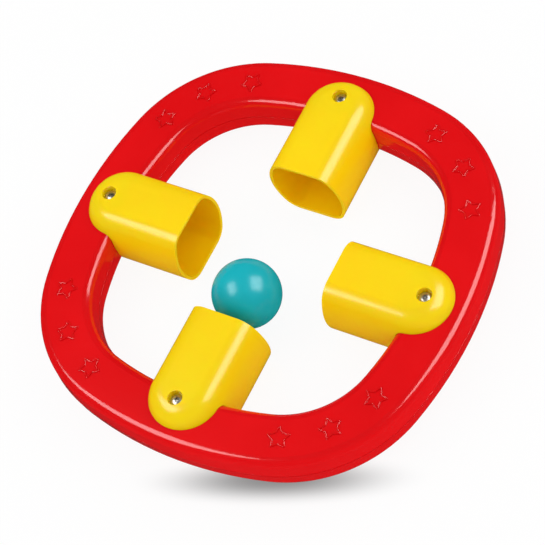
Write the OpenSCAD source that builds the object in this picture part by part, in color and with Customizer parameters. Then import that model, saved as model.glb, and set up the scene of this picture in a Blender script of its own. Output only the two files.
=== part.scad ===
// Hand-held ball-catching ring: a hollow rounded-square ring of two shells,
// four scoop cups that straddle it, their screws, and one loose ball.
// The model lies flat: +Z is up, z = 0 is the plane of the cups' lower faces,
// and the origin is under the middle of the ring. The right-hand cup is on +X.

/* [Ring] */
// Middle of the rim to the middle of the ring, halfway along a side
ring_reach = 139; // [110:0.5:170]
// Centre of each corner's arc, across and up from the middle of the ring
corner_offset = 46.4; // [24:0.8:64]
// Width of the rim at the parting line
rim_width = 41.6; // [38:0.2:52]
// Height of the rim, front face to back face
rim_height = 33; // [26:0.5:40]
// Rounding of the rim's long edges
edge_round = 6.5; // [4:0.5:12.5]
// How far each side of the rim leans in from the parting line to its rounding
side_draft = 0.8; // [0.2:0.1:1.5]
// Wall of the two shells
shell_wall = 2.5; // [1.8:0.1:3.5]
// Depth of the fine groove round the rim at the parting line
seam_depth = 0.4; // [0.2:0.1:0.8]
// Width of that groove
seam_width = 0.5; // [0.2:0.1:1]
// Height of the front shell's locating lip below the parting line
lip_height = 2.4; // [1.5:0.1:4]
// Thickness of the locating lip
lip_wall = 1.2; // [0.8:0.1:1.8]
// Play between the lip and the back shell
lip_play = 0.15; // [0.1:0.05:0.4]

/* [Stars] */
// Middle of each star to its points
star_reach = 8.2; // [4:0.1:9]
// Share of that reach at the star's inner corners
star_waist = 0.58; // [0.4:0.01:0.7]
// Width of the raised outline
star_line = 0.7; // [0.5:0.1:1.5]
// Height of the raised outline above the ring's face
star_rise = 0.4; // [0.2:0.1:1]
// Angle between neighbouring stars of a corner
star_spacing = 13.7; // [10:0.1:17]
// How far the outer stars of a corner sit inside the middle one
star_step = 3.9; // [0:0.1:6]
// How much further round the outer stars of a corner are turned than the middle one
star_turn = 11.5; // [0:0.5:36]

/* [Cups] */
// How far a cup stands out above the ring's face, and below its back
cup_rise = 11.75; // [8:0.25:15]
// Width of the flat on the cup's upper and lower faces
cup_flat = 25.5; // [20:0.5:36]
// How far a cup's sides bow out past its rounded corners
cup_bow = 3.6; // [2.4:0.1:4.6]
// Wall of the cup
cup_wall = 2.4; // [1.8:0.1:3.5]
// Length of a cup from its mouth to the centre of its rounded end
cup_length = 60.5; // [46:0.5:72]
// How far inside the middle of the rim a cup's rounded end is centred
end_inset = 18; // [12:0.5:22]
// Gap between the cup and the ring that it straddles
cup_play = 0.3; // [0.2:0.05:0.6]

/* [Screws] */
// How far inside the middle of the rim a cup's screws stand
cup_screw_inset = 9.5; // [5:0.5:13]
// Width of the round recess over a screw
recess_width = 11; // [8:0.2:13]
// Depth of that recess in the cup's face
recess_depth = 5.4; // [3:0.1:7]
// Diameter of a screw's shank
screw_width = 3; // [2.5:0.1:4]
// Length of a cup screw below its head
cup_screw_length = 15; // [10:0.5:18]
// Length of a shell screw below its head
shell_screw_length = 18; // [14:0.5:22]
// Diameter of a screw's head
head_width = 8.8; // [5:0.1:9.6]
// Height of a screw's head
head_height = 2.4; // [1.5:0.1:3]
// Radial gap round a screw where it is threaded into a boss
thread_play = 0.05; // [0.02:0.01:0.1]
// Radial gap round a screw where it passes through a hole
hole_play = 0.3; // [0.2:0.05:0.6]
// Radial gap round a shell screw's head
head_play = 0.4; // [0.2:0.05:0.8]
// Wall of the bosses that the screws go into
boss_wall = 2.4; // [1.6:0.1:4]
// Gap left between the bosses of the two shells
boss_play = 0.2; // [0.1:0.05:0.5]

/* [Ball] */
// Diameter of the ball
ball_width = 50.8; // [40:0.1:54]
// Wall of the hollow ball
ball_wall = 1.6; // [1:0.1:3]
// The resting ball's place, to the right of the ring's middle
ball_right = -4; // [-12:0.5:12]
// The resting ball's place, towards the top cup
ball_up = -29.5; // [-31:0.5:31]

/* [Hidden] */
$fn = 96;
ring_colour = [0.86, 0.03, 0.05];
cup_colour = [0.98, 0.82, 0.05];
ball_colour = [0.04, 0.66, 0.7];
steel_colour = [0.35, 0.34, 0.33];

// heights, measured up from the parting plane and then from the table
half_rim = rim_height / 2;
half_cup = half_rim + cup_rise;
middle = half_cup;

// rim outline: side arcs and corner arcs share their tangents
half_width = rim_width / 2;
shoulder = half_width - side_draft;
// a 16-63-65 triangle between the arcs' centres keeps all of them in plain decimals
side_offset = corner_offset * (63 - 16) / 16;
corner_radius = ring_reach - corner_offset * (65 - 47) / 16;
side_radius = ring_reach + side_offset;
corner_reach = corner_offset * sqrt(2) + corner_radius;

// cup outline: a side arc runs into two corner arcs, and an 8-15-17 triangle
// between their centres keeps all of them in plain decimals
half_flat = cup_flat / 2;
round_height = 4 * cup_bow;
side_centre = half_flat - 7.5 * cup_bow;
cup_round = half_cup - round_height;
side_bulge = cup_round + 8.5 * cup_bow;
half_mouth = side_centre + side_bulge;
end_reach = ring_reach - end_inset;
mouth_reach = end_reach - cup_length;
cup_screw_reach = ring_reach - cup_screw_inset;

// the pocket ends short of the ring's inner edge, which falls back beside the cup's axis
ring_inside = sqrt(pow(side_radius - half_width, 2) - pow(half_mouth, 2)) - side_offset;
pocket_end = ring_inside - cup_play - cup_wall;
boss_radius = screw_width / 2 + boss_wall;
cup_boss_radius = recess_width / 2 + cup_wall * 0.75;
recess_floor = half_cup - recess_depth;
shell_floor = half_rim - shell_wall - head_height - boss_play;

// ---- rim ----

// outline of the rim's upper half: rounded shoulders over leaning sides
module half_rim_outline(inset, spread) {
  r = edge_round - inset;
  mid = shoulder - edge_round + spread;
  h = half_rim - edge_round;
  for (side = [-1, 1])
    translate([side * mid, h])
      circle(r = r);
  translate([-mid, 0])
    square([2 * mid, half_rim - inset]);
  polygon([
    [-half_width + inset - spread, 0],
    [half_width - inset + spread, 0],
    [shoulder - inset + spread, h],
    [-shoulder + inset - spread, h]
  ]);
}

module above(height) {
  intersection() {
    children();
    translate([-2 * half_width, height])
      square([4 * half_width, 4 * half_rim]);
  }
}

// closed lower side: the outline and its mirror image
module rim_outline(inset, spread) {
  above(0)
    half_rim_outline(inset, spread);
  mirror([0, 1])
    above(0)
      half_rim_outline(inset, spread);
}

// one shell's wall, stepped back at its rim to leave its half of the parting groove
module shell_outline() {
  difference() {
    above(0)
      half_rim_outline(0, 0);
    above(0)
      half_rim_outline(shell_wall, 0);
    for (side = [0, 1])
      mirror([side, 0])
        translate([half_width - seam_depth, -seam_width / 2])
          square([2 * seam_depth, seam_width]);
  }
}

// lip inside the walls, standing clear of the back shell where that leans in
module lip_outline() {
  lean = side_draft * lip_height / (half_rim - edge_round);
  outer = half_width - shell_wall - lip_play - lean;
  for (side = [0, 1])
    mirror([side, 0])
      union() {
        translate([outer - lip_wall, -lip_height])
          square([lip_wall, lip_height + 2 * lip_wall]);
        translate([outer - lip_wall, lip_wall])
          square([lip_wall + lean + 2 * lip_play, lip_wall]);
      }
}

// the part of a revolved outline that lies between two neighbouring arcs' ends
module side_sweep(k) {
  reach = [2 * (corner_offset + side_offset), 2 * corner_offset];
  rotate([0, 0, 90 * k])
    translate([-side_offset, 0, 0])
      intersection() {
        rotate([0, 0, 180])
          rotate_extrude()
            translate([side_radius, 0])
              children();
        translate([0, 0, -rim_height])
          linear_extrude(height = 2 * rim_height)
            polygon([[0, 0], [reach.x, -reach.y], [reach.x, reach.y]]);
      }
}

module corner_sweep(k) {
  reach = [corner_offset + side_offset, corner_offset];
  rotate([0, 0, 90 * k])
    translate([corner_offset, corner_offset, 0])
      intersection() {
        rotate_extrude()
          translate([corner_radius, 0])
            children();
        translate([0, 0, -rim_height])
          linear_extrude(height = 2 * rim_height)
            polygon([[0, 0], [reach.x, reach.y], [reach.y, reach.x]]);
      }
}

module sweep() {
  for (k = [0:3]) {
    side_sweep(k)
      children();
    corner_sweep(k)
      children();
  }
}

module at_cup_screws() {
  for (k = [0:3])
    rotate([0, 0, 90 * k])
      translate([cup_screw_reach, 0, 0])
        children();
}

module at_corners() {
  for (k = [0:3])
    rotate([0, 0, 90 * k + 45])
      translate([corner_reach, 0, 0])
        children();
}

// five-pointed star; a scaled copy inside it leaves an outline of even width
module star(reach) {
  polygon([
    for (i = [0:9])
      let (r = i % 2 == 0 ? reach : reach * star_waist)
        [r * cos(36 * i), r * sin(36 * i)]
  ]);
}

module star_ring() {
  edge_height = star_reach * star_waist * sin(36)
    / sqrt(1 + pow(star_waist, 2) - 2 * star_waist * cos(36));
  difference() {
    star(star_reach);
    star(star_reach * (1 - star_line / edge_height));
  }
}

// three stars on each corner, the middle one with a point towards the ring's middle
module stars() {
  for (k = [0:3])
    for (s = [-1:1])
      rotate([0, 0, 45 + 90 * k + s * star_spacing])
        translate([corner_reach - abs(s) * star_step, 0, half_rim - star_rise])
          rotate([0, 0, 36 + s * star_turn])
            linear_extrude(height = 2 * star_rise)
              star_ring();
}

module shell() {
  sweep()
    shell_outline();
  at_cup_screws()
    shell_boss();
  at_corners()
    shell_boss();
}

module shell_boss() {
  translate([0, 0, boss_play / 2])
    cylinder(r = boss_radius, h = half_rim - shell_wall / 2 - boss_play / 2);
}

module ring_front() {
  pilot = screw_width / 2 + thread_play;
  color(ring_colour)
    translate([0, 0, middle])
      difference() {
        union() {
          shell();
          sweep()
            lip_outline();
          stars();
        }
        at_cup_screws()
          translate([0, 0, recess_floor - cup_screw_length - 1])
            cylinder(r = pilot, h = half_rim + cup_screw_length);
        at_corners()
          translate([0, 0, -1])
            cylinder(r = pilot, h = shell_screw_length - shell_floor + 2);
      }
}

module ring_back() {
  pilot = screw_width / 2 + thread_play;
  color(ring_colour)
    translate([0, 0, middle])
      mirror([0, 0, 1])
        difference() {
          union() {
            shell();
            at_corners()
              translate([0, 0, shell_floor - shell_wall])
                cylinder(r = head_width / 2 + head_play + shell_wall, h = half_rim - shell_floor + shell_wall / 2);
          }
          at_cup_screws()
            translate([0, 0, recess_floor - cup_screw_length - 1])
              cylinder(r = pilot, h = half_rim + cup_screw_length);
          at_corners() {
            translate([0, 0, -1])
              cylinder(r = screw_width / 2 + hole_play, h = rim_height);
            translate([0, 0, shell_floor])
              cylinder(r = head_width / 2 + head_play, h = rim_height);
          }
        }
}

// ---- cups ----

// outline of a cup across its axis: flats, rounded corners and bowed sides,
// cut along the lines through the arcs' centres, where one arc passes into the next
module cup_outline(inset) {
  far = [half_flat + 15 * cup_bow, round_height + 8 * cup_bow];
  for (mx = [0, 1])
    mirror([mx, 0]) {
      intersection() {
        translate([side_centre, 0])
          circle(r = side_bulge - inset, $fn = 4 * $fn);
        polygon([[half_flat, round_height], far, [far.x, -far.y], [half_flat, -round_height]]);
      }
      for (my = [0, 1])
        mirror([0, my])
          intersection() {
            translate([half_flat, round_height])
              circle(r = cup_round - inset);
            polygon([[half_flat, round_height], far, [half_flat, far.y]]);
          }
    }
  translate([-half_flat, inset - half_cup])
    square([cup_flat, 2 * (half_cup - inset)]);
}

module cup_run(inset, from, to) {
  translate([from, 0, 0])
    rotate([90, 0, 90])
      linear_extrude(height = to - from)
        cup_outline(inset);
}

module cup_end(inset) {
  translate([end_reach, 0, 0])
    rotate([0, 0, -90])
      rotate_extrude(angle = 180)
        intersection() {
          cup_outline(inset);
          translate([0, -2 * half_cup])
            square([2 * half_mouth, 4 * half_cup]);
        }
}

module cup() {
  hole = screw_width / 2 + hole_play;
  cavity = pocket_end + cup_wall + cup_play;
  color(cup_colour)
    translate([0, 0, middle])
      difference() {
        union() {
          difference() {
            union() {
              cup_run(0, mouth_reach, end_reach);
              cup_end(0);
            }
            cup_run(cup_wall, mouth_reach - 1, pocket_end);
            union() {
              cup_run(cup_wall, cavity, end_reach);
              cup_end(cup_wall);
            }
          }
          translate([cup_screw_reach, 0, cup_wall / 2 - half_cup])
            cylinder(r = cup_boss_radius, h = 2 * half_cup - cup_wall);
        }
        side_sweep(0)
          rim_outline(0, cup_play);
        for (side = [0, 1])
          mirror([0, 0, side])
            translate([cup_screw_reach, 0, 0]) {
              cylinder(r = hole, h = half_cup);
              translate([0, 0, recess_floor])
                cylinder(r = recess_width / 2, h = half_cup);
            }
      }
}

module cup_right() {
  cup();
}

module cup_top() {
  rotate([0, 0, 90])
    cup();
}

module cup_left() {
  rotate([0, 0, 180])
    cup();
}

module cup_bottom() {
  rotate([0, 0, 270])
    cup();
}

// ---- screws ----

// screw with a low domed head and a cross slot; z = 0 is under its head
module screw(length) {
  dome = (pow(head_width / 2, 2) + pow(head_height, 2)) / (2 * head_height) + head_height / 2;
  color(steel_colour)
    difference() {
      union() {
        intersection() {
          cylinder(r = head_width / 2, h = head_height);
          translate([0, 0, head_height - dome])
            sphere(r = dome);
        }
        translate([0, 0, -length + screw_width / 2])
          cylinder(r = screw_width / 2, h = length);
        translate([0, 0, -length])
          cylinder(r1 = screw_width / 8, r2 = screw_width / 2, h = screw_width / 2);
      }
      for (turn = [0, 90])
        rotate([0, 0, turn + 30])
          translate([-head_width * 0.32, -head_width * 0.065, head_height / 2])
            cube([head_width * 0.64, head_width * 0.13, head_height]);
    }
}

module cup_screw(k, side) {
  rotate([0, 0, 90 * k])
    translate([cup_screw_reach, 0, middle])
      mirror([0, 0, side])
        translate([0, 0, recess_floor])
          screw(cup_screw_length);
}

module shell_screw(k) {
  rotate([0, 0, 90 * k + 45])
    translate([corner_reach, 0, middle])
      mirror([0, 0, 1])
        translate([0, 0, shell_floor])
          screw(shell_screw_length);
}

module front_screw_right() {
  cup_screw(0, 0);
}

module front_screw_top() {
  cup_screw(1, 0);
}

module front_screw_left() {
  cup_screw(2, 0);
}

module front_screw_bottom() {
  cup_screw(3, 0);
}

module back_screw_right() {
  cup_screw(0, 1);
}

module back_screw_top() {
  cup_screw(1, 1);
}

module back_screw_left() {
  cup_screw(2, 1);
}

module back_screw_bottom() {
  cup_screw(3, 1);
}

module shell_screw_1() {
  shell_screw(0);
}

module shell_screw_2() {
  shell_screw(1);
}

module shell_screw_3() {
  shell_screw(2);
}

module shell_screw_4() {
  shell_screw(3);
}

// ---- ball ----

// hollow ball, held at the height at which it rolls inside a cup
module ball() {
  color(ball_colour)
    translate([ball_right, ball_up, middle])
      difference() {
        sphere(r = ball_width / 2);
        sphere(r = ball_width / 2 - ball_wall);
      }
}

ring_front();
ring_back();
cup_top();
cup_right();
cup_bottom();
cup_left();
front_screw_top();
front_screw_right();
front_screw_bottom();
front_screw_left();
back_screw_top();
back_screw_right();
back_screw_bottom();
back_screw_left();
shell_screw_1();
shell_screw_2();
shell_screw_3();
shell_screw_4();
ball();
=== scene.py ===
"""Ball-catching ring toy: finishes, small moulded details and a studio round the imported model.

Lengths are in metres and angles in degrees, unless a comment says otherwise."""

import math

import bpy
from mathutils import Matrix, Vector


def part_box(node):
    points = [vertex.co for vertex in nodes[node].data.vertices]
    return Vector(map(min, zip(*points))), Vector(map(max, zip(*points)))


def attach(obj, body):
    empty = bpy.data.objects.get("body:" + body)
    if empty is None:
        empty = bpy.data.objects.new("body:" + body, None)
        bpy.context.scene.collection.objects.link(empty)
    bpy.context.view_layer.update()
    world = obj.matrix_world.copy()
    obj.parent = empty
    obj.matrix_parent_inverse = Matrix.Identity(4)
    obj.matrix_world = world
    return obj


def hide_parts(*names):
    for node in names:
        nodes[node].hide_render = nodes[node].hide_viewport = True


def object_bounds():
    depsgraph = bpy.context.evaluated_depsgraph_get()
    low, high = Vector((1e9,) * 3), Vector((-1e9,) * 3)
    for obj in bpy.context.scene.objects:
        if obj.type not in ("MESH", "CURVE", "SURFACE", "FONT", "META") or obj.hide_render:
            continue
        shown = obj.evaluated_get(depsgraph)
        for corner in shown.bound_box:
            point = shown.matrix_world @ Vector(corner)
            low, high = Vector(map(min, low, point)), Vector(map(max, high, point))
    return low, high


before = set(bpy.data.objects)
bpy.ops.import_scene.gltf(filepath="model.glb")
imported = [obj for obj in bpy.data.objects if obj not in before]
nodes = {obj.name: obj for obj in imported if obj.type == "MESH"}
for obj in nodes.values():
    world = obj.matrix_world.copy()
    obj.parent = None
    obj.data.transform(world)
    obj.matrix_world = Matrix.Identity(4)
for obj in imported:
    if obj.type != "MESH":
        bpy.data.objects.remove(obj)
cad_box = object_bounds()
low, high = Vector(cad_box[0]), Vector(cad_box[1])
centre = (low + high) / 2
scene = bpy.context.scene

MM = 0.001
HAIR = 0.01 * MM  # sizes that differ by less count as the same
SCREWS = sorted(name for name in nodes if "screw" in name)

# ---- camera ----
VIEW_AZIMUTH = -39.1
VIEW_ELEVATION = 56.64
VIEW_ROLL = -27.48
VIEW_DISTANCE = 1.3394
VIEW_AIM = Vector((5.94, -7.73, 0)) * MM  # from the middle of the toy
LENS = 123.85  # millimetres, like the sensor
SENSOR = 36

# ---- studio ----
SOFTBOX_DISTANCE = 0.8
GLEAM_RADIANCE = 6.5  # what the gloss reflects
FILL_RADIANCE = 1.9  # what lights the colours
SOFTBOXES = {  # azimuth, elevation, width and height
    "left_softbox": (-143, 55, 0.5, 0.34),
    "right_softbox": (36, 46, 0.66, 0.5),
}
ROOM_FILL = 0.88  # even light from every side
FLOOR_SIZE = 6
FLOOR_DROP = 0.2 * MM
FLOOR_GLOW = 1.0  # what the camera sees,
FLOOR_EVEN = 0.92  # and how much of that is glow and not lit card
FLOOR_GLEAM = 0.03  # what the gloss reflects
FLOOR_LIFT = 0.36  # what the floor throws up besides the light that falls on it

# A painted shadow on the floor: a soft dark patch in the floor's own colour, not cast by any lamp.
SHADE_MIDDLE = (0.070, -0.1417, low.z)  # where the near side almost meets the floor
SHADE_REACH = (0.115, 0.022, 1)
SHADE_TURN = 22
SHADE_DEPTH = 0.7

# ---- raised stars ----
STAR_POINTS = 5
STAR_LINE = 1.1 * MM
STAR_RISE = 0.5 * MM
STAR_SOFTENING = 0.4 * MM
STAR_POINT = 0.9 * MM  # what the softening takes off a point
STAR_SPACE = 20 * MM  # corners closer than this belong to one star
STAR_CORNER_STEPS = 5
STAR_LINE_SIDES = 12

# ---- screws ----
HEAD_HEIGHT = 2.4 * MM
HEAD_CROWN = 1.2 * MM
CROWN_POWER = 2.8  # flat in the middle, and steeper towards the rim
CROSS_LENGTH = 6.4 * MM
CROSS_WIDTH = 1.5 * MM
CROSS_DEPTH = 2 * MM
CROSS_FOOT = 0.45  # of the cross's length, at its floor
CROSS_SINK = 0.85  # of the cross's depth, so that it cuts clear through the crown
SHANK_WIDTH = 3 * MM
SHANK_START = 0.115  # of the screw's length, inside the head
SCREW_LENGTH = 17.4 * MM
SCREW_TURN = 37  # from one screw to the next
THREAD_PITCH = 1.1 * MM
THREAD_DEPTH = 0.04 * MM
HEAD_SIDES, HEAD_STEPS, HEAD_RINGS = 48, 2, 8
SHANK_SIDES, SHANK_STEPS = 16, 72
SHARP_EDGE = 35
WELD = 0.005 * MM

# ---- colours, sRGB ----
RING_RED, RING_RED_DEEP = "E30C12", "DC080E"
CUP_YELLOW, CUP_YELLOW_DEEP = "FFD605", "FED104"
BALL_TEAL, BALL_TEAL_DEEP = "02BCC8", "02B5C1"
STEEL = "C4C1BA"
PAPER = "F4F4F4"
WHITE = "FFFFFF"

# ---- patterns in the finishes ----
FLOW_DETAIL = 2.0
FLOW_SPAN = (0.35, 0.65)  # the part of the noise that runs from one colour to the other
GRAIN_DETAIL = 3.0
SKIN_GLOSS = 0.03  # how far the skin moves the roughness, up and down
SKIN_STRENGTH = 0.02
SKIN_HEIGHT = 0.1 * MM
EDGE_SAMPLES = 6
GLOW_REACH = 5 * MM
GLOW_COLOURS = (1, 0.45, 0.08)  # red light gets furthest through a yellow wall
PLATING_GRAIN = 0.5 * MM  # the real one is far finer, and is drawn this coarse to show at all
PLATING_GLOSS = (0.25, 0.42)


def linear(hex_colour):
    """sRGB hex to the linear colour that the shaders take."""
    parts = [int(hex_colour[i : i + 2], 16) / 255 for i in (0, 2, 4)]
    return (*(c / 12.92 if c <= 0.04045 else ((c + 0.055) / 1.055) ** 2.4 for c in parts), 1)


def add(tree, kind, links=None, values=None, **settings):
    """Adds a node, sets its properties and input values, and links sources to its inputs."""
    node = tree.nodes.new(kind)
    for name, value in settings.items():
        setattr(node, name, value)
    for socket, value in (values or {}).items():
        node.inputs[socket].default_value = value
    for socket, sources in (links or {}).items():
        for source in sources if isinstance(sources, list) else [sources]:
            tree.links.new(source, node.inputs[socket])
    return node


# ---- finishes ----
def new_material(name):
    """A material with an empty node tree, and the tree."""
    material = bpy.data.materials.new(name)
    material.use_nodes = True
    material.node_tree.nodes.clear()
    return material, material.node_tree


def uneven_gloss(tree, place, size, smoothest, roughest):
    """A fine grain of that size, and the roughness that it gives between two values."""
    grain = add(
        tree, "ShaderNodeTexNoise", {"Vector": place}, {"Scale": 1 / size, "Detail": GRAIN_DETAIL}
    )
    gloss = add(
        tree,
        "ShaderNodeMapRange",
        {"Value": grain.outputs["Fac"]},
        {"To Min": smoothest, "To Max": roughest},
    )
    return grain.outputs["Fac"], gloss.outputs[0]


def moulded(name, colour, deep, roughness, ior, flow, skin, edge=0.0, glow=0.0):
    """Moulded plastic: its colour drifts along the melt's flow, a fine skin breaks the gloss, its
    edges can be slightly rounded, and a thin wall can glow with the light that gets through."""
    material, tree = new_material(name)
    place = add(tree, "ShaderNodeTexCoord").outputs["Object"]
    drift = add(
        tree, "ShaderNodeTexNoise", {"Vector": place}, {"Scale": 1 / flow, "Detail": FLOW_DETAIL}
    )
    share = add(
        tree,
        "ShaderNodeMapRange",
        {"Value": drift.outputs["Fac"]},
        {"From Min": FLOW_SPAN[0], "From Max": FLOW_SPAN[1]},
    )
    tint = add(
        tree,
        "ShaderNodeMix",
        {"Factor": share.outputs[0]},
        {"A": linear(deep), "B": linear(colour)},
        data_type="RGBA",
    )
    grain, gloss = uneven_gloss(tree, place, skin, roughness - SKIN_GLOSS, roughness + SKIN_GLOSS)
    peel = add(
        tree,
        "ShaderNodeBump",
        {"Height": grain},
        {"Strength": SKIN_STRENGTH, "Distance": SKIN_HEIGHT},
    )
    if edge:
        round_edge = add(tree, "ShaderNodeBevel", None, {"Radius": edge}, samples=EDGE_SAMPLES)
        tree.links.new(round_edge.outputs[0], peel.inputs["Normal"])
    shader = add(
        tree,
        "ShaderNodeBsdfPrincipled",
        {"Base Color": tint.outputs[2], "Roughness": gloss, "Normal": peel.outputs[0]},
        {
            "IOR": ior,
            "Subsurface Weight": glow,
            "Subsurface Radius": GLOW_COLOURS,
            "Subsurface Scale": GLOW_REACH,
        },
    )
    add(tree, "ShaderNodeOutputMaterial", {"Surface": shader.outputs[0]})
    return material


def plated(name, colour):
    """Plated metal: sharp glints, broken up by a fine uneven grain."""
    material, tree = new_material(name)
    place = add(tree, "ShaderNodeTexCoord").outputs["Object"]
    _, gloss = uneven_gloss(tree, place, PLATING_GRAIN, *PLATING_GLOSS)
    shader = add(
        tree,
        "ShaderNodeBsdfPrincipled",
        {"Roughness": gloss},
        {"Base Color": linear(colour), "Metallic": 1.0},
    )
    add(tree, "ShaderNodeOutputMaterial", {"Surface": shader.outputs[0]})
    return material


# The colour drift is as wide as the real flow marks of a part this size. The skin of a real
# polished mould is under a tenth of a millimetre, so it is drawn about a millimetre wide to show.

# Polypropylene injected into a polished mould: a hard wet gloss, with long narrow gleams on every
# rounded edge and a clear reflection of the cups on the inner wall.
ring_plastic = moulded(
    "moulded_red_polypropylene",
    RING_RED,
    RING_RED_DEEP,
    roughness=0.13,
    ior=1.49,
    flow=60 * MM,
    skin=1.2 * MM,
    edge=0.3 * MM,
)
# Thin-walled injected ABS: a softer gloss with broad pale gleams, and walls that let some light
# through, so that the insides stay a warm yellow and not brown.
cup_plastic = moulded(
    "moulded_yellow_abs",
    CUP_YELLOW,
    CUP_YELLOW_DEEP,
    roughness=0.22,
    ior=1.43,
    flow=50 * MM,
    skin=1.0 * MM,
    edge=0.4 * MM,
    glow=0.55,
)
# Blow-moulded polyethylene: a waxy surface, on which each softbox is one blurred pale spot.
ball_plastic = moulded(
    "blown_teal_polyethylene",
    BALL_TEAL,
    BALL_TEAL_DEEP,
    roughness=0.26,
    ior=1.43,
    flow=20 * MM,
    skin=0.8 * MM,
)
# Zinc plated on cold-headed steel: small bright and dark glints at the bottom of the recesses.
screw_steel = plated("zinc_plated_steel", STEEL)

FINISHES = {
    "screw": screw_steel,
    "ring": ring_plastic,
    "cup": cup_plastic,
    "ball": ball_plastic,
}
for name, node in nodes.items():
    finish = next(material for word, material in FINISHES.items() if word in name)
    for slot in node.material_slots:
        slot.material = finish


# ---- repeated details, made with Geometry Nodes ----
def new_tree(name, sizes):
    """A geometry tree with a geometry input and a named number input for each size."""
    tree = bpy.data.node_groups.new(name, "GeometryNodeTree")
    tree.interface.new_socket("Geometry", in_out="INPUT", socket_type="NodeSocketGeometry")
    tree.interface.new_socket("Geometry", in_out="OUTPUT", socket_type="NodeSocketGeometry")
    for label in sizes:
        tree.interface.new_socket(label, in_out="INPUT", socket_type="NodeSocketFloat")
    return tree, tree.nodes.new("NodeGroupInput").outputs


def grow(name, tree, sizes, points, vectors):
    """Runs a tree on points that carry those vectors, and returns the result as a plain mesh."""
    cloud = bpy.data.meshes.new(name + "_points")
    cloud.from_pydata(points, [], [])
    for label, values in vectors.items():
        layer = cloud.attributes.new(label, "FLOAT_VECTOR", "POINT")
        layer.data.foreach_set("vector", [number for value in values for number in value])
    holder = bpy.data.objects.new(name, cloud)
    scene.collection.objects.link(holder)
    modifier = holder.modifiers.new("detail", "NODES")
    modifier.node_group = tree
    for item in tree.interface.items_tree:
        if item.in_out == "INPUT" and item.name in sizes:
            modifier[item.identifier] = sizes[item.name]
    bpy.context.view_layer.update()
    made = holder.evaluated_get(bpy.context.evaluated_depsgraph_get())
    mesh = bpy.data.meshes.new_from_object(made, preserve_all_data_layers=False)
    holder.modifiers.clear()
    holder.data = mesh
    bpy.data.meshes.remove(cloud)
    mesh.name = name
    return holder


def place_copies(tree, shapes, material):
    """Sets each shape on every point, with the point's own turn and, if a shape has one, its named
    stretch, and ends the tree."""
    points = tree.nodes["Group Input"].outputs["Geometry"]
    attribute = "GeometryNodeInputNamedAttribute"
    turn = add(tree, attribute, None, {"Name": "turn"}, data_type="FLOAT_VECTOR")
    rotation = add(tree, "FunctionNodeEulerToRotation", {"Euler": turn.outputs[0]})
    copies = []
    for shape, stretch in shapes:
        links = {"Points": points, "Instance": shape, "Rotation": rotation.outputs[0]}
        if stretch:
            scale = add(tree, attribute, None, {"Name": stretch}, data_type="FLOAT_VECTOR")
            links["Scale"] = scale.outputs[0]
        copies.append(add(tree, "GeometryNodeInstanceOnPoints", links).outputs[0])
    joined = add(tree, "GeometryNodeJoinGeometry", {"Geometry": copies})
    real = add(tree, "GeometryNodeRealizeInstances", {"Geometry": joined.outputs[0]})
    painted = add(
        tree, "GeometryNodeSetMaterial", {"Geometry": real.outputs[0]}, {"Material": material}
    )
    add(tree, "NodeGroupOutput", {"Geometry": painted.outputs[0]})


# ---- raised stars ----
def star_places():
    """Each star's middle, reach, waist and turn, read from the highest corners of the ring's front
    shell: a star's ridge has an inner and an outer corner at each tip and at each waist."""
    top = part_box("ring_front")[1].z
    corners = {
        tuple(round(c, 6) for c in vertex.co)
        for vertex in nodes["ring_front"].data.vertices
        if vertex.co.z > top - HAIR
    }
    clusters = []
    for corner in sorted(corners):
        spot = Vector(corner)
        near = next((c for c in clusters if (c[0] - spot).length < STAR_SPACE), None)
        if near:
            near.append(spot)
        else:
            clusters.append([spot])
    places = []
    for cluster in clusters:
        middle = sum(cluster, Vector()) / len(cluster)
        arms = [spot - middle for spot in cluster]
        lengths = sorted(arm.length for arm in arms)
        quarter = len(lengths) // 4
        inner_waist, outer_waist, inner_tip, outer_tip = (
            sum(lengths[i * quarter : (i + 1) * quarter]) / quarter for i in range(4)
        )
        tip = next(arm for arm in arms if arm.length > outer_tip - HAIR)
        places.append(
            (
                middle,
                (inner_tip + outer_tip) / 2,
                (inner_waist + outer_waist) / 2,
                math.atan2(tip.y, tip.x),
            )
        )
    return places


stars = star_places()
_, star_reach, star_waist, _ = stars[0]
STAR_SIZES = {
    "Reach": star_reach + STAR_POINT,
    "Waist": star_waist,
    "Softening": STAR_SOFTENING,
    "Line": STAR_LINE / 2,
    "Rise": STAR_RISE / (STAR_LINE / 2),
}


def star_tree():
    """A low rounded bead along a star with softened corners."""
    tree, given = new_tree("raised_star", STAR_SIZES)
    outline = add(
        tree,
        "GeometryNodeCurveStar",
        {"Inner Radius": given["Waist"], "Outer Radius": given["Reach"]},
        {"Points": STAR_POINTS},
    )
    soft = add(
        tree,
        "GeometryNodeFilletCurve",
        {"Curve": outline.outputs[0], "Radius": given["Softening"]},
        {"Count": STAR_CORNER_STEPS},
        mode="POLY",
    )
    section = add(
        tree,
        "GeometryNodeCurvePrimitiveCircle",
        {"Radius": given["Line"]},
        {"Resolution": STAR_LINE_SIDES},
    )
    flat = add(tree, "ShaderNodeCombineXYZ", {"Y": given["Rise"]}, {"X": 1.0, "Z": 1.0})
    low_section = add(
        tree,
        "GeometryNodeTransform",
        {"Geometry": section.outputs[0], "Scale": flat.outputs[0]},
    )
    bead = add(
        tree,
        "GeometryNodeCurveToMesh",
        {"Curve": soft.outputs[0], "Profile Curve": low_section.outputs[0]},
    )
    smooth = add(tree, "GeometryNodeSetShadeSmooth", {"Geometry": bead.outputs[0]})
    place_copies(tree, [(smooth.outputs[0], None)], ring_plastic)
    return tree


star_marks = grow(
    "star_marks",
    star_tree(),
    STAR_SIZES,
    [middle for middle, *_ in stars],
    {"turn": [(0, 0, turn) for *_, turn in stars]},
)
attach(star_marks, "toy")

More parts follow.
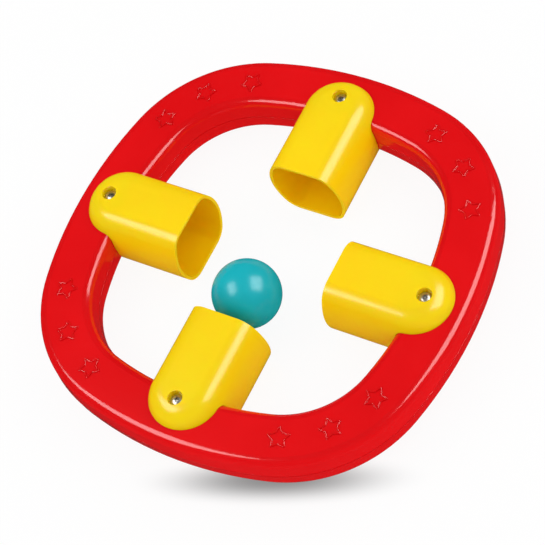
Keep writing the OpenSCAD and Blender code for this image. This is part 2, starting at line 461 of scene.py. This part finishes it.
# ---- screws ----
SCREW_SIZES = {
    "Head Radius": max((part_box(n)[1].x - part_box(n)[0].x) / 2 for n in SCREWS),
    "Head Height": HEAD_HEIGHT,
    "Crown": HEAD_CROWN,
    "Cross Reach": CROSS_LENGTH / 2,
    "Cross Width": CROSS_WIDTH / CROSS_LENGTH,
    "Cross Depth": CROSS_DEPTH,
    "Shank Radius": SHANK_WIDTH / 2 - THREAD_DEPTH,
    "Thread Turn": 2 * math.pi / THREAD_PITCH,
    "Thread Depth": THREAD_DEPTH,
}


def own_place(tree):
    """Where each corner of a shape is: its x, y and z, and its way out from the axis."""
    place = add(tree, "GeometryNodeInputPosition").outputs[0]
    x, y, z = add(tree, "ShaderNodeSeparateXYZ", {0: place}).outputs
    return x, y, z, add(tree, "ShaderNodeCombineXYZ", {0: x, 1: y}).outputs[0]


def screw_head(tree, given):
    """A pan head that hangs from the crown's top, with a tapered cross sunk in it."""
    _, _, z, outward = own_place(tree)
    blank = add(
        tree,
        "GeometryNodeMeshCylinder",
        {"Radius": given["Head Radius"], "Depth": given["Head Height"]},
        {"Vertices": HEAD_SIDES, "Side Segments": HEAD_STEPS, "Fill Segments": HEAD_RINGS},
    )
    radius = add(tree, "ShaderNodeVectorMath", {0: outward}, operation="LENGTH")
    share = add(
        tree,
        "ShaderNodeMath",
        {0: radius.outputs["Value"], 1: given["Head Radius"]},
        operation="DIVIDE",
    )
    bend = add(tree, "ShaderNodeMath", {0: share.outputs[0]}, {1: CROWN_POWER}, operation="POWER")
    fall = add(
        tree, "ShaderNodeMath", {0: bend.outputs[0], 1: given["Crown"]}, operation="MULTIPLY"
    )
    down = add(tree, "ShaderNodeMath", {0: fall.outputs[0]}, {1: -1.0}, operation="MULTIPLY")
    lowered = add(tree, "ShaderNodeCombineXYZ", {2: down.outputs[0]})
    upper = add(tree, "FunctionNodeCompare", {"A": z}, {"B": HAIR}, operation="GREATER_THAN")
    crown = add(
        tree,
        "GeometryNodeSetPosition",
        {
            "Geometry": blank.outputs["Mesh"],
            "Selection": upper.outputs[0],
            "Offset": lowered.outputs[0],
        },
    )
    half_height = add(
        tree, "ShaderNodeMath", {0: given["Head Height"]}, {1: -0.5}, operation="MULTIPLY"
    )
    hang = add(tree, "ShaderNodeCombineXYZ", {2: half_height.outputs[0]})
    hung = add(
        tree,
        "GeometryNodeTransform",
        {"Geometry": crown.outputs[0], "Translation": hang.outputs[0]},
    )

    foot = add(
        tree, "ShaderNodeMath", {0: given["Cross Reach"]}, {1: CROSS_FOOT}, operation="MULTIPLY"
    )
    wedge = add(
        tree,
        "GeometryNodeMeshCone",
        {
            "Radius Top": given["Cross Reach"],
            "Radius Bottom": foot.outputs[0],
            "Depth": given["Cross Depth"],
        },
        {"Vertices": 4},
    )
    square = add(
        tree,
        "GeometryNodeTransform",
        {"Geometry": wedge.outputs["Mesh"]},
        {"Rotation": (0, 0, math.pi / 4)},
    )
    deep = add(
        tree, "ShaderNodeMath", {0: given["Cross Depth"]}, {1: -CROSS_SINK}, operation="MULTIPLY"
    )
    sunk = add(tree, "ShaderNodeCombineXYZ", {2: deep.outputs[0]})
    slim = add(tree, "ShaderNodeCombineXYZ", {1: given["Cross Width"]}, {0: 1.0, 2: 1.0})
    flute = add(
        tree,
        "GeometryNodeTransform",
        {
            "Geometry": square.outputs[0],
            "Scale": slim.outputs[0],
            "Translation": sunk.outputs[0],
        },
    )
    other = add(
        tree,
        "GeometryNodeTransform",
        {"Geometry": flute.outputs[0]},
        {"Rotation": (0, 0, math.pi / 2)},
    )
    cut = add(
        tree,
        "GeometryNodeMeshBoolean",
        {"Mesh 1": hung.outputs[0], "Mesh 2": [flute.outputs[0], other.outputs[0]]},
        operation="DIFFERENCE",
        solver="EXACT",
    )
    welded = add(
        tree, "GeometryNodeMergeByDistance", {"Geometry": cut.outputs[0]}, {"Distance": WELD}
    )
    return welded.outputs[0]


def screw_shank(tree, given):
    """A shank that ends one unit below the crown's top, for the screw's length to stretch, with a
    thread that swells and sinks along a spiral."""
    x, y, z, outward = own_place(tree)
    rod = add(
        tree,
        "GeometryNodeMeshCylinder",
        {"Radius": given["Shank Radius"]},
        {
            "Vertices": SHANK_SIDES,
            "Side Segments": SHANK_STEPS,
            "Fill Segments": 1,
            "Depth": 1 - SHANK_START,
        },
    )
    height = add(tree, "ShaderNodeMath", {0: z}, {1: SCREW_LENGTH}, operation="MULTIPLY")
    bearing = add(tree, "ShaderNodeMath", {0: y, 1: x}, operation="ARCTAN2")
    along = add(
        tree,
        "ShaderNodeMath",
        {0: height.outputs[0], 1: given["Thread Turn"], 2: bearing.outputs[0]},
        operation="MULTIPLY_ADD",
    )
    wave = add(tree, "ShaderNodeMath", {0: along.outputs[0]}, operation="SINE")
    swell = add(
        tree,
        "ShaderNodeMath",
        {0: wave.outputs[0], 1: given["Thread Depth"]},
        operation="MULTIPLY",
    )
    away = add(tree, "ShaderNodeVectorMath", {0: outward}, operation="NORMALIZE")
    thread = add(
        tree,
        "ShaderNodeVectorMath",
        {0: away.outputs[0], "Scale": swell.outputs[0]},
        operation="SCALE",
    )
    ribbed = add(
        tree,
        "GeometryNodeSetPosition",
        {"Geometry": rod.outputs["Mesh"], "Offset": thread.outputs[0]},
    )
    hung = add(
        tree,
        "GeometryNodeTransform",
        {"Geometry": ribbed.outputs[0]},
        {"Translation": (0, 0, -(1 + SHANK_START) / 2)},
    )
    return hung.outputs[0]


def crisp(tree, shape):
    """The shape shaded smooth, apart from its sharp edges."""
    smooth = add(tree, "GeometryNodeSetShadeSmooth", {"Geometry": shape})
    bend = add(tree, "GeometryNodeInputMeshEdgeAngle")
    sharp = add(
        tree,
        "FunctionNodeCompare",
        {"A": bend.outputs["Unsigned Angle"]},
        {"B": math.radians(SHARP_EDGE)},
        operation="GREATER_THAN",
    )
    edged = add(
        tree,
        "GeometryNodeSetShadeSmooth",
        {"Geometry": smooth.outputs[0], "Selection": sharp.outputs[0]},
        {"Shade Smooth": False},
        domain="EDGE",
    )
    return edged.outputs[0]


def screw_tree():
    """A head of one size on a shank that each screw stretches to its own length."""
    tree, given = new_tree("cross_recess_screw", SCREW_SIZES)
    head, shank = crisp(tree, screw_head(tree, given)), crisp(tree, screw_shank(tree, given))
    place_copies(tree, [(head, None), (shank, "stretch")], screw_steel)
    return tree


def screw_places():
    """Where each screw's crown is, and the way it faces and its length."""
    places, turns, stretches = [], [], []
    for number, name in enumerate(SCREWS, 1):
        start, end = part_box(name)
        faces_up = name.startswith("front")
        crown = end.z if faces_up else start.z
        places.append(((start.x + end.x) / 2, (start.y + end.y) / 2, crown))
        turns.append((0 if faces_up else math.pi, 0, math.radians(SCREW_TURN * number)))
        stretches.append((1, 1, end.z - start.z))
    return places, {"turn": turns, "stretch": stretches}


screws = grow("cross_recess_screws", screw_tree(), SCREW_SIZES, *screw_places())
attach(screws, "toy")
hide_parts(*SCREWS)


# ---- the camera ----
def facing(azimuth, elevation, distance, roll=0):
    """A place that far from the origin in that direction, looking back at it."""
    a, e = math.radians(azimuth), math.radians(elevation)
    away = Vector((math.cos(e) * math.cos(a), math.cos(e) * math.sin(a), math.sin(e)))
    turn = away.to_track_quat("Z", "Y").to_matrix().to_4x4()
    return Matrix.Translation(away * distance) @ turn @ Matrix.Rotation(math.radians(roll), 4, "Z")


camera_data = bpy.data.cameras.new("camera")
camera_data.sensor_width = SENSOR
camera_data.lens = LENS
camera = bpy.data.objects.new("camera", camera_data)
camera.matrix_world = Matrix.Translation(centre + VIEW_AIM) @ facing(
    VIEW_AZIMUTH, VIEW_ELEVATION, VIEW_DISTANCE, VIEW_ROLL
)
scene.collection.objects.link(camera)
scene.camera = camera

# ---- soft studio light: in each softbox one light gleams, and the other fills ----
for name, (azimuth, elevation, width, height) in SOFTBOXES.items():
    for kind, radiance in (("gleam", GLEAM_RADIANCE), ("fill", FILL_RADIANCE)):
        light = bpy.data.lights.new(name + "_" + kind, "AREA")
        light.shape = "RECTANGLE"
        light.size, light.size_y = width, height
        light.energy = radiance * math.pi * width * height
        holder = bpy.data.objects.new(light.name, light)
        holder.matrix_world = Matrix.Translation(centre) @ facing(
            azimuth, elevation, SOFTBOX_DISTANCE
        )
        holder.visible_diffuse = kind == "fill"
        holder.visible_glossy = kind == "gleam"
        scene.collection.objects.link(holder)


# ---- the floor ----
def studio_floor(name):
    """Pale card: near even and bright to the eye, dim in reflections, so that the gloss keeps its
    contrast, with one painted soft shade, and clear from below."""
    material, tree = new_material(name)
    ray = add(tree, "ShaderNodeLightPath")
    card = add(tree, "ShaderNodeBsdfDiffuse", None, {"Color": linear(PAPER)})
    glow, dim, lift, black = (
        add(tree, "ShaderNodeEmission", None, {"Color": linear(WHITE), "Strength": strength})
        for strength in (FLOOR_GLOW, FLOOR_GLEAM, FLOOR_LIFT, 0.0)
    )
    even = add(
        tree, "ShaderNodeMixShader", {1: card.outputs[0], 2: glow.outputs[0]}, {0: FLOOR_EVEN}
    )
    place = add(tree, "ShaderNodeTexCoord").outputs["Object"]
    spread = add(
        tree,
        "ShaderNodeMapping",
        {"Vector": place},
        {
            "Location": SHADE_MIDDLE,
            "Rotation": (0, 0, math.radians(SHADE_TURN)),
            "Scale": SHADE_REACH,
        },
        vector_type="TEXTURE",
    )
    # The painted shadow: darkest at its middle, and gone at the edge of its reach.
    away = add(tree, "ShaderNodeVectorMath", {0: spread.outputs[0]}, operation="LENGTH")
    shade = add(
        tree,
        "ShaderNodeMapRange",
        {"Value": away.outputs["Value"]},
        {"From Min": 0.0, "From Max": 1.0, "To Min": SHADE_DEPTH, "To Max": 0.0},
        interpolation_type="SMOOTHERSTEP",
    )
    seen = add(
        tree,
        "ShaderNodeMixShader",
        {0: shade.outputs[0], 1: even.outputs[0], 2: black.outputs[0]},
    )
    lifted = add(tree, "ShaderNodeAddShader", {0: card.outputs[0], 1: lift.outputs[0]})
    felt = add(
        tree,
        "ShaderNodeMixShader",
        {0: ray.outputs["Is Glossy Ray"], 1: lifted.outputs[0], 2: dim.outputs[0]},
    )
    look = add(
        tree,
        "ShaderNodeMixShader",
        {0: ray.outputs["Is Camera Ray"], 1: felt.outputs[0], 2: seen.outputs[0]},
    )
    side = add(tree, "ShaderNodeNewGeometry")
    clear = add(tree, "ShaderNodeBsdfTransparent")
    one_sided = add(
        tree,
        "ShaderNodeMixShader",
        {0: side.outputs["Backfacing"], 1: look.outputs[0], 2: clear.outputs[0]},
    )
    add(tree, "ShaderNodeOutputMaterial", {"Surface": one_sided.outputs[0]})
    return material


half = FLOOR_SIZE / 2
floor_corners = [(-half, -half, 0), (half, -half, 0), (half, half, 0), (-half, half, 0)]
floor_mesh = bpy.data.meshes.new("floor")
floor_mesh.from_pydata(floor_corners, [], [(0, 1, 2, 3)])
floor_mesh.transform(Matrix.Translation((0, 0, low.z - FLOOR_DROP)))
floor_mesh.materials.append(studio_floor("pale_studio_floor"))
floor = bpy.data.objects.new("floor", floor_mesh)
scene.collection.objects.link(floor)

# ---- the room: even light that fills, and isn't reflected ----
world = bpy.data.worlds.new("room")
scene.world = world  # first, as the settings below look for it on the scene
world.use_nodes = True
room = world.node_tree.nodes["Background"].inputs
room["Color"].default_value = linear(WHITE)
room["Strength"].default_value = ROOM_FILL
world.cycles_visibility.glossy = False
scene.view_settings.view_transform = "Standard"
